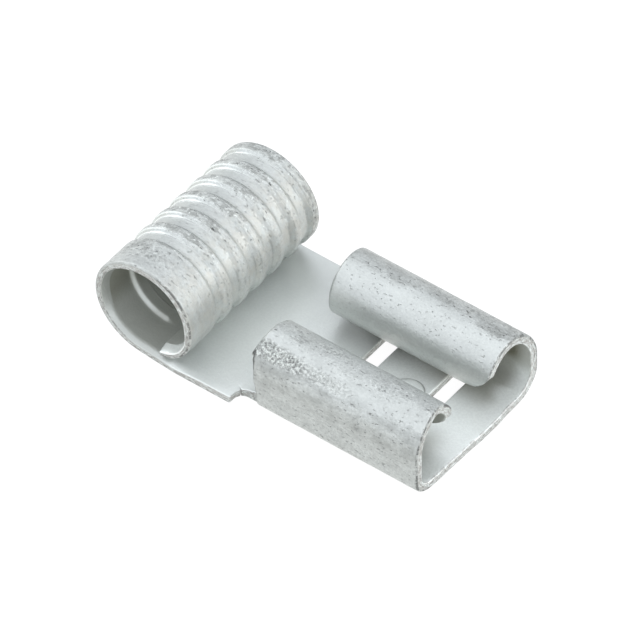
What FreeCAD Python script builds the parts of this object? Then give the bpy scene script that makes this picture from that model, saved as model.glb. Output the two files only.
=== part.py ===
import FreeCAD, Part
import math
import os

V = FreeCAD.Vector

# A flag-type female spade terminal, stamped and rolled from one strip of thin sheet.
# +X is the way the mating tab leaves, +Y runs along the wire barrel, +Z is up.
# The part lies on its flat underside, with the origin under the middle of its length and width.

# Sheet and the tab that it takes
sheet = 0.40
tab_width = 6.35
tab_side_play = 0.21
tab_grip_gap = 0.69

# Receptacle: a flat floor with two walls that roll inward and down
bend_radius = 0.69
roll_radius = 1.39
roll_centre_height = 1.98
receptacle_length = 8.05
wall_setback = 0.22
wall_setback_width = 0.75
roll_setback = 0.38
flap_corner_run = 1.75
flap_corner_rise = 1.20
flap_corner_sag = 0.20
rear_corner_radius = 0.30
rear_relief_depth = 0.22
rear_relief_low = 0.60
rear_relief_high = 1.60
lead_in_length = 0.20
lead_in_drop = 0.14

# Floor openings and the round detent between them
slot_width = 0.72
slot_length = 5.40
rear_slot_from_mouth = 5.70
front_slot_from_mouth = 2.51
detent_from_mouth = 3.61
detent_off_middle = 0.24
detent_radius = 0.69
detent_height = 0.20

# Tongue that joins the receptacle to the barrel
tongue_width = 8.13
tongue_front_from_mouth = 8.83
neck_width = 6.80
neck_fillet = 0.42
step_from_mouth = 8.60
step_depth = 0.05

# Wire barrel, rolled over from the rear edge of the tongue
barrel_outer_radius = 2.31
barrel_lift = 0.166
barrel_axis_from_mouth = 12.97
ramp_angle = 6.0
curl_start_angle = -30.0
curl_end_angle = -84.0
curl_seat_gap = 0.04

# Grip rings pressed into the barrel
ring_depth = 0.16
ring_flank = 0.16
crest_width = 0.28
crest_pitch = 1.07
near_plain_length = 1.57
first_crest_from_near_end = 2.36
far_plain_length = 0.43
ring_start_angle = -58.0
ring_end_angle = 250.0

# Worked out from the sizes above
overall_length = barrel_axis_from_mouth + barrel_outer_radius
mouth_x = overall_length / 2
half_width = tab_width / 2 + tab_side_play + sheet
roll_centre_y = half_width - roll_radius
barrel_axis_x = mouth_x - barrel_axis_from_mouth
barrel_axis_height = barrel_outer_radius + barrel_lift
barrel_inner_radius = barrel_outer_radius - sheet
barrel_mid_radius = barrel_outer_radius - sheet / 2
near_end_y = -tongue_width / 2
far_plain_start = tongue_width - far_plain_length
crest_count = int((far_plain_start - first_crest_from_near_end + ring_flank) / crest_pitch)
tip_height = sheet + tab_grip_gap
roll_turn = 180 + math.degrees(math.asin((roll_centre_height - tip_height) / roll_radius))
reach = 2 * overall_length


def behind_mouth(distance):
    """X of a place that lies a given distance behind the mouth."""
    return mouth_x - distance


def on_circle(centre_a, centre_b, radius, degrees):
    """Point on a circle in a plane, as a pair of plane coordinates."""
    turn = math.radians(degrees)
    return (centre_a + radius * math.cos(turn), centre_b + radius * math.sin(turn))


def across(y_z, x=0.0):
    """A pair of section coordinates as a point in the plane across the receptacle."""
    return V(x, y_z[0], y_z[1])


def along(x_z, y=0.0):
    """A pair of side-view coordinates as a point in the plane along the part."""
    return V(x_z[0], y, x_z[1])


def mirrored(shape):
    """The same shape on the other side of the middle plane."""
    return shape.mirror(V(0, 0, 0), V(0, 1, 0))


def both_sides(shape):
    """The shape and its mirror image."""
    return [shape, mirrored(shape)]


def line(start, end):
    return Part.LineSegment(start, end).toShape()


def arc(start, middle, end):
    return Part.Arc(start, middle, end).toShape()


def block(x_min, x_max, y_min, y_max, z_min, z_max):
    """A rectangular block between two corners."""
    return Part.makeBox(x_max - x_min, y_max - y_min, z_max - z_min, V(x_min, y_min, z_min))


def half_section_edges():
    """Edges of half of the receptacle's section, from the middle of its underside to the middle
    of its floor: floor, bend, wall and roll, outside first and then back along the inside."""
    bend_y = half_width - bend_radius

    def bend(radius, degrees):
        return across(on_circle(bend_y, bend_radius, radius, degrees))

    def roll(radius, degrees):
        return across(on_circle(roll_centre_y, roll_centre_height, radius, degrees))

    outer = bend_radius
    inner = bend_radius - sheet
    roll_inner = roll_radius - sheet
    half_turn = roll_turn / 2
    return [
        line(V(0, 0, 0), bend(outer, -90)),
        arc(bend(outer, -90), bend(outer, -45), bend(outer, 0)),
        line(bend(outer, 0), roll(roll_radius, 0)),
        arc(roll(roll_radius, 0), roll(roll_radius, half_turn), roll(roll_radius, roll_turn)),
        line(roll(roll_radius, roll_turn), roll(roll_inner, roll_turn)),
        arc(roll(roll_inner, roll_turn), roll(roll_inner, half_turn), roll(roll_inner, 0)),
        line(roll(roll_inner, 0), bend(inner, 0)),
        arc(bend(inner, 0), bend(inner, -45), bend(inner, -90)),
        line(bend(inner, -90), V(0, 0, sheet)),
    ]


def receptacle():
    """Floor, walls and rolls, carried straight along X."""
    edges = half_section_edges() + [line(V(0, 0, sheet), V(0, 0, 0))]
    half = Part.Face(Part.Wire(edges)).extrude(V(receptacle_length, 0, 0))
    half.translate(V(behind_mouth(receptacle_length), 0, 0))
    return half.fuse(mirrored(half))


def mouth_corner_cutter():
    """Plan-view trim that sets a wall's front edge back from the floor's front edge."""
    start = V(mouth_x, half_width - wall_setback_width, -1)
    end = V(mouth_x - wall_setback, half_width, -1)
    middle = V(mouth_x - wall_setback * 0.4, half_width - wall_setback_width * 0.4, -1)
    outside = V(mouth_x - wall_setback, half_width + 1, -1)
    corner = V(mouth_x + 1, half_width + 1, -1)
    front = V(mouth_x + 1, half_width - wall_setback_width, -1)
    wire = Part.Wire([arc(start, middle, end), line(end, outside), line(outside, corner),
                      line(corner, front), line(front, start)])
    return Part.Face(wire).extrude(V(0, 0, reach))


def roll_front_cutter():
    """Side-view trim that leans the rolls' front edges back towards their tops."""
    top = roll_centre_height + roll_radius
    foot = (mouth_x, bend_radius)
    crown = (mouth_x - roll_setback, top)
    lean = (mouth_x - roll_setback * 0.6, roll_centre_height + roll_radius * 0.3)
    above = (mouth_x - roll_setback, top + 1)
    far = (mouth_x + 1, top + 1)
    near = (mouth_x + 1, bend_radius)
    wire = Part.Wire([arc(along(foot, -reach), along(lean, -reach), along(crown, -reach)),
                      line(along(crown, -reach), along(above, -reach)),
                      line(along(above, -reach), along(far, -reach)),
                      line(along(far, -reach), along(near, -reach)),
                      line(along(near, -reach), along(foot, -reach))])
    return Part.Face(wire).extrude(V(0, 2 * reach, 0))


def flap_corner_cutter():
    """Side-view trim that sets the front edge of a roll's hanging flap back, and rounds its front
    lower corner."""
    below = tip_height - 0.1 * sheet
    crown = roll_centre_height + roll_radius
    top = (mouth_x - roll_setback, tip_height + flap_corner_rise)
    bottom = (mouth_x - roll_setback - flap_corner_run, below)
    run = bottom[0] - top[0]
    rise = bottom[1] - top[1]
    chord = math.hypot(run, rise)
    middle = ((top[0] + bottom[0]) / 2 - rise / chord * flap_corner_sag,
              (top[1] + bottom[1]) / 2 + run / chord * flap_corner_sag)
    above = (top[0], crown + 1)
    front_top = (mouth_x + 1, crown + 1)
    front_bottom = (mouth_x + 1, below)
    y = sheet / 4
    wire = Part.Wire([arc(along(top, y), along(middle, y), along(bottom, y)),
                      line(along(bottom, y), along(front_bottom, y)),
                      line(along(front_bottom, y), along(front_top, y)),
                      line(along(front_top, y), along(above, y)),
                      line(along(above, y), along(top, y))])
    return Part.Face(wire).extrude(V(0, roll_centre_y - y, 0))


def rear_corner_cutter():
    """Side-view trim that rounds the rear lower corner of a roll's hanging flap."""
    x = behind_mouth(receptacle_length)
    z = tip_height - 0.1 * sheet
    r = rear_corner_radius
    y = sheet / 4
    start = (x, z + r)
    end = (x + r, z)
    middle = on_circle(x + r, z + r, r, 225)
    corner = (x, z)
    wire = Part.Wire([arc(along(start, y), along(middle, y), along(end, y)),
                      line(along(end, y), along(corner, y)),
                      line(along(corner, y), along(start, y))])
    return Part.Face(wire).extrude(V(0, roll_centre_y - y, 0))


def wall_relief_cutter():
    """Side-view trim of a wall's rear foot, where the blank's relief notch runs up the wall."""
    x = behind_mouth(receptacle_length)
    y = neck_width / 2
    foot = (x + rear_relief_depth, -1)
    low = (x + rear_relief_depth, rear_relief_low)
    high = (x, rear_relief_high)
    rear_high = (x - 1, rear_relief_high)
    rear_low = (x - 1, -1)
    points = [along(p, y) for p in (foot, low, high, rear_high, rear_low, foot)]
    return Part.Face(Part.makePolygon(points)).extrude(V(0, half_width, 0))


def lead_in_cutter():
    """Bevel along the floor's front upper edge, where the tab slides in."""
    edge = (mouth_x - lead_in_length, sheet)
    nose = (mouth_x, sheet - lead_in_drop)
    above = (mouth_x + 1, sheet)
    ahead = (mouth_x + 1, sheet - lead_in_drop)
    y = half_width - bend_radius
    points = [along(p, -y) for p in (edge, nose, ahead, above, edge)]
    return Part.Face(Part.makePolygon(points)).extrude(V(0, 2 * y, 0))


def slot_cutter(distance):
    """Cross slot through the floor, centred a given distance behind the mouth."""
    x = behind_mouth(distance)
    return block(x - slot_width / 2, x + slot_width / 2, -slot_length / 2, slot_length / 2,
                 -sheet, 2 * sheet)


def dome(base_z, base_radius, height):
    """Spherical cap of a given base radius and height, standing on a level."""
    radius = (base_radius ** 2 + height ** 2) / (2 * height)
    centre = V(behind_mouth(detent_from_mouth), detent_off_middle, base_z + height - radius)
    ball = Part.makeSphere(radius, centre)
    x, y = centre.x, centre.y
    return ball.common(block(x - radius, x + radius, y - radius, y + radius,
                             base_z, base_z + 2 * height))


def plate():
    """Neck and front of the tongue, with a rounded relief notch at each side."""
    rear = behind_mouth(tongue_front_from_mouth) - sheet
    front = behind_mouth(tongue_front_from_mouth)
    end = behind_mouth(receptacle_length)
    half_tongue = tongue_width / 2
    half_neck = neck_width / 2
    r = neck_fillet
    fillet = on_circle(front + r, half_neck + r, r, 225)
    p1 = V(rear, 0, 0)
    p2 = V(rear, half_tongue, 0)
    p3 = V(front, half_tongue, 0)
    p4 = V(front, half_neck + r, 0)
    p5 = V(front + r, half_neck, 0)
    p6 = V(end, half_neck, 0)
    p7 = V(end, 0, 0)
    wire = Part.Wire([line(p1, p2), line(p2, p3), line(p3, p4), arc(p4, V(fillet[0], fillet[1], 0), p5),
                      line(p5, p6), line(p6, p7), line(p7, p1)])
    half = Part.Face(wire).extrude(V(0, 0, sheet))
    return half.fuse(mirrored(half))


def step_cutter():
    """Shallow coined line across the neck: the tongue's upper face drops by a small step and the
    neck rises again to the floor."""
    line_x = behind_mouth(step_from_mouth)
    floor_x = behind_mouth(receptacle_length)
    points = [V(line_x, -neck_width, sheet - step_depth), V(floor_x, -neck_width, sheet),
              V(floor_x, -neck_width, 2 * sheet), V(line_x, -neck_width, 2 * sheet)]
    face = Part.Face(Part.makePolygon(points + points[:1]))
    return face.extrude(V(0, 2 * neck_width, 0))


def ramp_foot(offset):
    """Side-view point where the level sheet starts to rise to the barrel, for the surface that
    lies a given offset above the sheet's underside."""
    angle = math.radians(ramp_angle)
    radius = barrel_outer_radius - offset
    touch = on_circle(barrel_axis_x, barrel_axis_height, radius, -90 - ramp_angle)
    run = (touch[1] - offset) / math.tan(angle)
    return (touch[0] + run, offset)


def curl_centre_and_radius():
    """Centre and mid-sheet radius of the free edge's tighter curl, which takes over from the
    barrel's circle and comes down to rest on the rising tongue."""
    angle = math.radians(curl_start_angle)
    rise = math.radians(ramp_angle)
    start_x = barrel_axis_x + barrel_mid_radius * math.cos(angle)
    start_z = barrel_axis_height + barrel_mid_radius * math.sin(angle)
    foot = ramp_foot(0.0)
    # The curl's mid line stays one sheet, half of its own and the seat gap off the ramp.
    clearance = 1.5 * sheet + curl_seat_gap
    # Distance from the ramp's underside line to a centre that lies a radius back along the
    # start direction has to equal the radius and that clearance.
    start_off = (start_x - foot[0]) * math.sin(rise) + (start_z - foot[1]) * math.cos(rise)
    back = math.cos(angle) * math.sin(rise) + math.sin(angle) * math.cos(rise)
    radius = (start_off - clearance) / (1 + back)
    return start_x - radius * math.cos(angle), start_z - radius * math.sin(angle), radius


def barrel_profile():
    """Closed side-view outline of the tongue's rear part, the rising sheet, the rolled barrel and
    its curled free edge."""
    x_c, z_c = barrel_axis_x, barrel_axis_height
    curl_x, curl_z, curl_radius = curl_centre_and_radius()
    touch = 270 - ramp_angle
    middle = (touch + curl_start_angle) / 2
    curl_middle = (curl_start_angle + curl_end_angle) / 2

    def barrel(radius, degrees):
        return along(on_circle(x_c, z_c, radius, degrees))

    def curl(offset, degrees):
        return along(on_circle(curl_x, curl_z, curl_radius + offset, degrees))

    outer, inner, half = barrel_outer_radius, barrel_inner_radius, sheet / 2
    front = behind_mouth(tongue_front_from_mouth)
    under = along(ramp_foot(0.0))
    upper = along(ramp_foot(sheet))
    edges = [
        line(V(front, 0, 0), under),
        line(under, barrel(outer, touch)),
        arc(barrel(outer, touch), barrel(outer, middle), barrel(outer, curl_start_angle)),
        arc(curl(half, curl_start_angle), curl(half, curl_middle), curl(half, curl_end_angle)),
        line(curl(half, curl_end_angle), curl(-half, curl_end_angle)),
        arc(curl(-half, curl_end_angle), curl(-half, curl_middle), curl(-half, curl_start_angle)),
        arc(barrel(inner, curl_start_angle), barrel(inner, middle), barrel(inner, touch)),
        line(barrel(inner, touch), upper),
        line(upper, V(front, 0, sheet)),
        line(V(front, 0, sheet), V(front, 0, 0)),
    ]
    return Part.Wire(edges)


def pressed_bands():
    """Start and end of each pressed-in band of the barrel, measured from its near end."""
    crests = [first_crest_from_near_end + i * crest_pitch for i in range(crest_count)]
    starts = [near_plain_length] + [c + crest_width for c in crests]
    ends = crests + [far_plain_start]
    return list(zip(starts, ends))


def ring(start, end, radius_top, radius_floor):
    """Ring with sloping flanks about the barrel's axis, from a wide side at one radius to a
    narrower side at another."""
    y_1 = near_end_y + start
    y_2 = near_end_y + end
    corners = [(y_1, radius_top), (y_1 + ring_flank, radius_floor),
               (y_2 - ring_flank, radius_floor), (y_2, radius_top)]
    points = [V(barrel_axis_x + r, y, barrel_axis_height) for y, r in corners]
    face = Part.Face(Part.makePolygon(points + points[:1]))
    axis_point = V(barrel_axis_x, 0, barrel_axis_height)
    swept = face.revolve(axis_point, V(0, -1, 0), ring_end_angle - ring_start_angle)
    return swept.rotate(axis_point, V(0, -1, 0), ring_start_angle)


def barrel():
    """Tongue and rolled barrel with its pressed rings: each band is cut from the outside and
    stands proud by the same depth on the inside."""
    body = Part.Face(barrel_profile()).extrude(V(0, tongue_width, 0))
    body.translate(V(0, near_end_y, 0))
    bands = pressed_bands()
    beads = [ring(a, b, barrel_inner_radius, barrel_inner_radius - ring_depth) for a, b in bands]
    grooves = [ring(a, b, barrel_outer_radius, barrel_outer_radius - ring_depth) for a, b in bands]
    return body.fuse(beads).cut(grooves)


def terminal():
    """The whole terminal as one folded sheet."""
    body = receptacle()
    trims = [roll_front_cutter(), lead_in_cutter()]
    for cutter in (mouth_corner_cutter, flap_corner_cutter, rear_corner_cutter, wall_relief_cutter):
        trims += both_sides(cutter())
    body = body.cut(trims)
    body = body.fuse([plate(), barrel()])
    body = body.cut([step_cutter(), slot_cutter(rear_slot_from_mouth), slot_cutter(front_slot_from_mouth)])
    body = body.cut(dome(0, detent_radius, detent_height))
    body = body.fuse(dome(sheet, detent_radius, detent_height))
    return body.removeSplitter()


def main():
    os.makedirs("parts", exist_ok=True)
    shape = terminal()
    solids = shape.Solids
    box = shape.BoundBox
    print("solids", len(solids), "valid", shape.isValid(), "volume", round(shape.Volume, 3))
    print("box", round(box.XMin, 3), round(box.XMax, 3), round(box.YMin, 3), round(box.YMax, 3),
          round(box.ZMin, 3), round(box.ZMax, 3))
    solids[0].exportStep("parts/terminal.step")


main()
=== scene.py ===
import math

import bpy
import numpy as np
from bpy.props import FloatProperty, FloatVectorProperty, IntProperty, PointerProperty
from mathutils import Matrix, Vector


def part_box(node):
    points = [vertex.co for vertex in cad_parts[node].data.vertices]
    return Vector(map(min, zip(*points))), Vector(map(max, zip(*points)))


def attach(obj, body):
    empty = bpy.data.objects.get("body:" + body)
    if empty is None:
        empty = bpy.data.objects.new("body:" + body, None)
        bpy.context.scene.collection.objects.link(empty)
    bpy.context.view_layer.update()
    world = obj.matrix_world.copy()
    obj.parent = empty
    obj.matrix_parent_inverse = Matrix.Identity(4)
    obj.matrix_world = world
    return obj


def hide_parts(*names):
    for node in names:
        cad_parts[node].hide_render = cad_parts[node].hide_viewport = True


bl_info = {
    "name": "Spade Terminal Maker",
    "version": (1, 0, 0),
    "blender": (4, 5, 0),
    "location": "3D View > Sidebar > Terminal",
    "description": "Folds a tinned spade terminal from its flat blank and sets it on a pale stage",
    "category": "Add Mesh",
}

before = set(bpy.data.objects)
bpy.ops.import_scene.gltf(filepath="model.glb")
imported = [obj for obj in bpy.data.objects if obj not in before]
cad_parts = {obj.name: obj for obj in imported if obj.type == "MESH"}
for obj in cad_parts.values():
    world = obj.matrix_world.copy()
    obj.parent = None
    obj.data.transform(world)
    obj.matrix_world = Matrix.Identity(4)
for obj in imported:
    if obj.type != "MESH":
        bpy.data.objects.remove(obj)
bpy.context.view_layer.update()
cad_low, cad_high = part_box("terminal")
MM = 0.001

# On the flat blank, in millimetres: rear and front end of each slot along it from the mouth, half
# a slot's length across it, and the detent's place along and across it
SLOTS = [(-2.87, -2.15), (-6.06, -5.34)]
SLOT_REACH = 2.7
DETENT = (-3.61, 0.24)
# Along the barrel, in millimetres: its plain ends, its crests and a band's sloped flank
NEAR_PLAIN = 1.57
FIRST_CREST = 2.36
CREST_WIDTH = 0.28
FAR_PLAIN = 0.43
FLANK = 0.20
# Length of the blank that takes up one unit of its own texture coordinates
UV_SPAN = 10.0


# Sizes and colours


def in_mm(name, description, default):
    return FloatProperty(name=name, description=description, default=default * MM,
                         unit="LENGTH", precision=5)


def number(name, description, default):
    return FloatProperty(name=name, description=description, default=default)


def colour(name, description, default):
    return FloatVectorProperty(name=name, description=description, default=default,
                               subtype="COLOR", size=3)


class TerminalSheet(bpy.types.PropertyGroup):
    thickness: in_mm("Sheet thickness", "Thickness of the rolled strip", 0.40)
    inner_width: in_mm("Inner width", "Room for the tab between the two walls", 6.77)
    near_bend: in_mm("Near bend", "Outer radius of the bend from the floor to the near wall", 0.69)
    far_bend: in_mm("Far bend", "Outer radius of the bend from the floor to the far wall", 1.15)
    roll_radius: in_mm("Roll radius", "Outer radius of the rolled top of a wall", 1.39)
    roll_height: in_mm("Roll centre height", "Height of the centre of a wall's roll", 1.98)
    grip_gap: in_mm("Grip gap", "Gap between the floor and the rolls' tips", 0.69)
    receptacle_length: in_mm("Receptacle length", "From the mouth to the rear of the walls", 8.05)
    neck_width: in_mm("Neck width", "Width between the two relief notches", 6.80)
    tongue_front: in_mm(
        "Tongue front", "From the mouth to the front edge of the tongue's shoulders", 8.83)
    detent_height: in_mm("Detent height", "How far the round detent stands above the floor", 0.20)
    die_roll: in_mm("Die roll", "Rounding of the outer side of each sheared edge", 0.09)


class TerminalBarrel(bpy.types.PropertyGroup):
    outer_radius: in_mm("Outer radius", "Outer radius of the barrel on its crests", 2.31)
    lift: in_mm("Lift", "How far the barrel stands above the tongue's underside", 0.166)
    axis_from_mouth: in_mm("Axis from mouth", "From the mouth to the barrel's axis", 12.97)
    ramp: FloatProperty(
        name="Ramp angle", description="Slope of the sheet where it rises to the barrel",
        default=math.radians(6.0), subtype="ANGLE")
    ring_depth: in_mm("Ring depth", "How deep each band is pressed into the barrel", 0.15)
    crest_pitch: in_mm("Crest pitch", "Distance from one crest to the next", 1.072)
    crest_count: IntProperty(
        name="Crests", description="Number of raised crests between the pressed bands", default=5)


class TerminalFinish(bpy.types.PropertyGroup):
    tin: colour("Tin", "Colour of the matte tin plating", (0.52, 0.545, 0.52))
    # a yellowish tint on the barrel's right side, partly brass under thin plating and partly a
    # painted reflection
    warm_brass_and_reflection: colour(
        "Thin plating", "Tint where the brass shows through thin plating", (0.53, 0.52, 0.46))
    # inside: colour of the painted shade in the barrel, in the rolls and on the floor under them
    inside: colour(
        "Inside", "Duller plating inside the barrel and the rolls", (0.180, 0.178, 0.128))
    bare_edge: colour(
        "Sheared edge", "Colour of the edges, where the plating is thin", (0.56, 0.55, 0.51))
    scuff: colour("Scuff", "Colour of the dark scuffs left by the tooling", (0.24, 0.25, 0.235))


class TerminalStage(bpy.types.PropertyGroup):
    lens: number("Lens", "Focal length of the camera in millimetres", 799.74)
    floor_colour: colour("Floor", "Colour of the plain floor", (0.10, 0.10, 0.10))
    floor_glow: number(
        "Floor glow", "Light that comes through the floor, as on a light table", 0.95)
    tent: number("Tent", "Brightness of the white tent overhead and in front", 1.38)
    tent_back: number("Tent back", "Brightness of the tent low down behind the terminal", 0.74)
    overhead: number("Overhead", "Brightness of the panel overhead", 0.20)
    left: number("Left", "Brightness of the low panel at the left", 2.0)
    right: number("Right", "Brightness of the panel in front of the mouth", 2.7)


GROUPS = {
    "terminal_sheet": TerminalSheet,
    "terminal_barrel": TerminalBarrel,
    "terminal_finish": TerminalFinish,
    "terminal_stage": TerminalStage,
}


# Flat blank and its folds, in millimetres


def smooth_ramp(x):
    """Rises from 0 to 1 as x goes from 0 to 1, level at both ends: 3x squared less 2x cubed."""
    x = np.clip(x, 0.0, 1.0)
    return x * x * (3.0 - 2.0 * x)


def curve_through(x, knots):
    """Smooth line through (x, y) knots: cubic pieces whose slopes are the harmonic mean of the
    chords beside each knot, so that the line never overshoots."""
    xs, ys = np.array(knots, float).T
    gap = np.diff(xs)
    chord = np.diff(ys) / gap
    slope = np.zeros_like(ys)
    product = chord[1:] * chord[:-1]
    total = chord[1:] + chord[:-1]
    slope[1:-1] = np.where(product > 0, 2 * product / np.where(total == 0, 1, total), 0.0)
    slope[0], slope[-1] = chord[0], chord[-1]
    k = np.clip(np.searchsorted(xs, x) - 1, 0, len(gap) - 1)
    t = np.clip((x - xs[k]) / gap[k], 0.0, 1.0)
    return (ys[k] * (1 + 2 * t) * (1 - t) ** 2 + gap[k] * slope[k] * t * (1 - t) ** 2
            + ys[k + 1] * t * t * (3 - 2 * t) + gap[k] * slope[k + 1] * t * t * (t - 1))


def fold_path(runs, start, s):
    """A line that goes on level and turns left by arcs. Each run is (length, curvature); where the
    curvature is not 0 the run is an arc of that radius. Returns, for distances s, the point on the
    line and its left-hand normal."""
    lengths = np.array([r[0] for r in runs])
    bends = np.array([r[1] for r in runs])
    begin = np.concatenate([[0.0], np.cumsum(lengths)[:-1]])
    heads = np.concatenate([[0.0], np.cumsum(lengths * bends)[:-1]])
    corner = [np.array(start, float)]
    for length, bend, head in zip(lengths, bends, heads):
        corner.append(corner[-1] + arc_step(length, bend, head))
    corner = np.array(corner[:-1])
    k = np.clip(np.searchsorted(begin, s, side="right") - 1, 0, len(runs) - 1)
    run = s - begin[k]
    point = corner[k] + np.stack(arc_step(run, bends[k], heads[k]), -1)
    head = heads[k] + run * bends[k]
    return point, np.stack([-np.sin(head), np.cos(head)], -1)


def arc_step(length, bend, head):
    """Step along an arc of a given length, curvature and starting direction: the chord's length is
    2 sin(half the turn) over the curvature, and it points along the mean direction."""
    half = length * bend / 2.0
    chord = length * np.sinc(half / np.pi)
    return np.array([chord * np.cos(head + half), chord * np.sin(head + half)])


class Blank:
    """The terminal's flat blank and folds, worked out in millimetres from the panel's sizes. u is
    the distance along the blank, 0 at the mouth and negative behind it. v is the distance across,
    negative on the near side."""

    def __init__(self, sheet, barrel):
        mm = 1000.0
        t = self.t = sheet.thickness * mm
        self.mouth_x = cad_high.x * mm
        half_width = sheet.inner_width * mm / 2 + t
        roll = sheet.roll_radius * mm
        roll_z = sheet.roll_height * mm
        tip = t + sheet.grip_gap * mm
        roll_turn = math.pi + math.asin((roll_z - tip) / roll)
        self.roll_mid = roll - t / 2
        self.sections = []
        for bend in (sheet.near_bend * mm, sheet.far_bend * mm):
            self.sections.append([
                (half_width - bend, 0.0),
                ((bend - t / 2) * math.pi / 2, 1 / (bend - t / 2)),
                (roll_z - bend, 0.0),
                (self.roll_mid * roll_turn, 1 / self.roll_mid)])
        self.roll_from = [sum(r[0] for r in runs[:3]) for runs in self.sections]
        self.half_blank = [sum(r[0] for r in runs) for runs in self.sections]
        self.rear = -sheet.receptacle_length * mm
        self.neck = sheet.neck_width * mm / 2
        self.shoulder = -sheet.tongue_front * mm
        self.tongue = cad_high.y * mm
        self.detent_height = sheet.detent_height * mm
        self.die_roll = sheet.die_roll * mm
        self.set_barrel(barrel, mm)

    def roll_angle(self, v):
        """Angle around a wall's roll, in degrees: 0 where the wall ends and the roll begins."""
        start = np.where(v < 0, self.roll_from[0], self.roll_from[1])
        return np.degrees((np.abs(v) - start) / self.roll_mid)

    def on_barrel(self, u):
        """1 around the barrel and 0 on the level part of the sheet."""
        return smooth_ramp((-u - self.circle_from - 0.4) / 0.6)

    def to_flap(self, v):
        """Distance across the blank to the free edge of the roll."""
        return np.where(v < 0, self.half_blank[0], self.half_blank[1]) - np.abs(v)

    def around(self, u):
        """Angle around the barrel in degrees, 0 at its right side and 90 on top."""
        return -96.0 - np.degrees((-u - self.circle_from) / self.barrel_mid) + 360.0

    def set_barrel(self, barrel, mm):
        """Runs of the side view: level plate, a short bend up to the ramp, the ramp, the barrel's
        circle and the tighter curl of the free edge, which comes down to the ramp."""
        t = self.t
        radius = barrel.outer_radius * mm
        axis_x = self.mouth_x - barrel.axis_from_mouth * mm
        axis_z = radius + barrel.lift * mm
        mid = self.barrel_mid = radius - t / 2
        ramp = barrel.ramp
        touch = -math.pi / 2 - ramp
        touch_x = axis_x + mid * math.cos(touch)
        touch_z = axis_z + mid * math.sin(touch)
        ramp_length = (touch_z - t / 2) / math.sin(ramp)
        foot_x = touch_x + ramp_length * math.cos(ramp)
        kink_radius = 4.0
        tangent = kink_radius * math.tan(ramp / 2)
        start = math.radians(-30.0)
        curl_turn = math.radians(54.0)
        curl_gap = 0.04
        start_x = axis_x + mid * math.cos(start)
        start_z = axis_z + mid * math.sin(start)
        base_x = foot_x - t / 2 * math.tan(ramp / 2)
        off = (start_x - base_x) * math.sin(ramp) + start_z * math.cos(ramp)
        back = math.cos(start) * math.sin(ramp) + math.sin(start) * math.cos(ramp)
        curl_radius = (off - 1.5 * t - curl_gap) / (1 + back)
        circle = mid * (touch - start + 2 * math.pi)
        self.side = [
            (self.mouth_x - foot_x - tangent, 0.0),
            (kink_radius * ramp, 1 / kink_radius),
            (ramp_length - tangent, 0.0),
            (circle, 1 / mid),
            (curl_radius * curl_turn, 1 / curl_radius)]
        self.circle_from = sum(r[0] for r in self.side[:3])
        self.curl_from = self.circle_from + circle
        self.end = -sum(r[0] for r in self.side)
        self.ring_depth = barrel.ring_depth * mm
        self.crests = FIRST_CREST + barrel.crest_pitch * mm * np.arange(barrel.crest_count)

    def bands(self):
        """Start and end of each pressed band, from the barrel's near end, over its full flanks."""
        starts = np.concatenate([[NEAR_PLAIN], self.crests + CREST_WIDTH])
        ends = np.concatenate([self.crests, [2 * self.tongue - FAR_PLAIN]])
        return starts, ends

    def ring_dip(self, u, v):
        """Depth of the pressed bands as a share: each band falls and rises over a smooth flank,
        and the bands fade out near the tongue and where the free edge curls in."""
        s = v + self.tongue
        dip = np.zeros_like(v)
        for start, end in zip(*self.bands()):
            band = smooth_ramp((s - start) / FLANK) * smooth_ramp((end - s) / FLANK)
            dip = np.maximum(dip, band)
        run = -u
        rise = smooth_ramp((run - self.circle_from + 0.40) / 0.45)
        fall = smooth_ramp((self.curl_from + 0.85 - run) / 0.85)
        return dip * rise * fall

    def detent(self, u, v):
        """Round detent between the slots: a flat-topped button with a smooth shoulder."""
        reach = np.hypot(u - DETENT[0], v - DETENT[1])
        crown = 0.80 + 0.20 * (1 - np.clip(reach / 0.5, 0, 1) ** 2)
        return self.detent_height * crown * smooth_ramp((0.66 - reach) / 0.17)

    def lead_in_reach(self, turn):
        """Length of the conical lead-in at the barrel's plain end, for angles around it."""
        return 0.41 - 0.15 * smooth_ramp((turn - 195) / 25)

    def flare(self, u, v):
        """How far the inner side of the barrel is opened at its plain end: a lead-in that ends
        sharply, deep where the sheet comes up from the ramp and at the curl, shallow on top."""
        turn = self.around(u)
        begun = smooth_ramp((-u - 10.0) / 1.6)
        size = 0.035 + 0.065 * smooth_ramp((turn - 105) / 45) + 0.10 * smooth_ramp((5 - turn) / 25)
        return begun * size * np.clip(1 - (v + self.tongue) / self.lead_in_reach(turn), 0, 1)

    def front_line(self, v):
        """Setback of the blank's front edge across its width: hardly any on the floor, then
        growing up the wall and over the roll, with a rounded corner at the flap."""
        q = self.roll_angle(v)
        far = np.where(q < 0, curve_through(v, [
            (0, 0.0), (1.2, 0.0), (1.7, 0.04), (2.4, 0.055), (2.9, 0.075), (3.4, 0.09),
            (4.2, 0.08), (self.roll_from[1], 0.09)]),
            curve_through(q, [
                (0, 0.09), (25, 0.20), (40, 0.26), (58, 0.31), (90, 0.36), (130, 0.38),
                (158, 0.41), (167, 0.45), (178, 0.60), (197, 1.01), (205, 1.34), (211, 1.63),
                (216, 2.02), (219.8, 2.62)]))
        near = np.where(q < 0, curve_through(-v, [
            (0, 0.0), (0.5, 0.04), (1.1, 0.05), (1.7, 0.07), (2.5, 0.075), (3.05, 0.11),
            (3.5, 0.19), (4.1, 0.215), (self.roll_from[0], 0.22)]),
            curve_through(q, [
                (0, 0.22), (25, 0.24), (58, 0.31), (90, 0.44), (115, 0.54), (150, 0.55),
                (165, 0.56), (178, 0.64), (197, 0.98), (205, 1.26), (211, 1.55), (216, 1.92),
                (219.8, 2.5)]))
        return np.where(v < 0, near, far)

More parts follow.
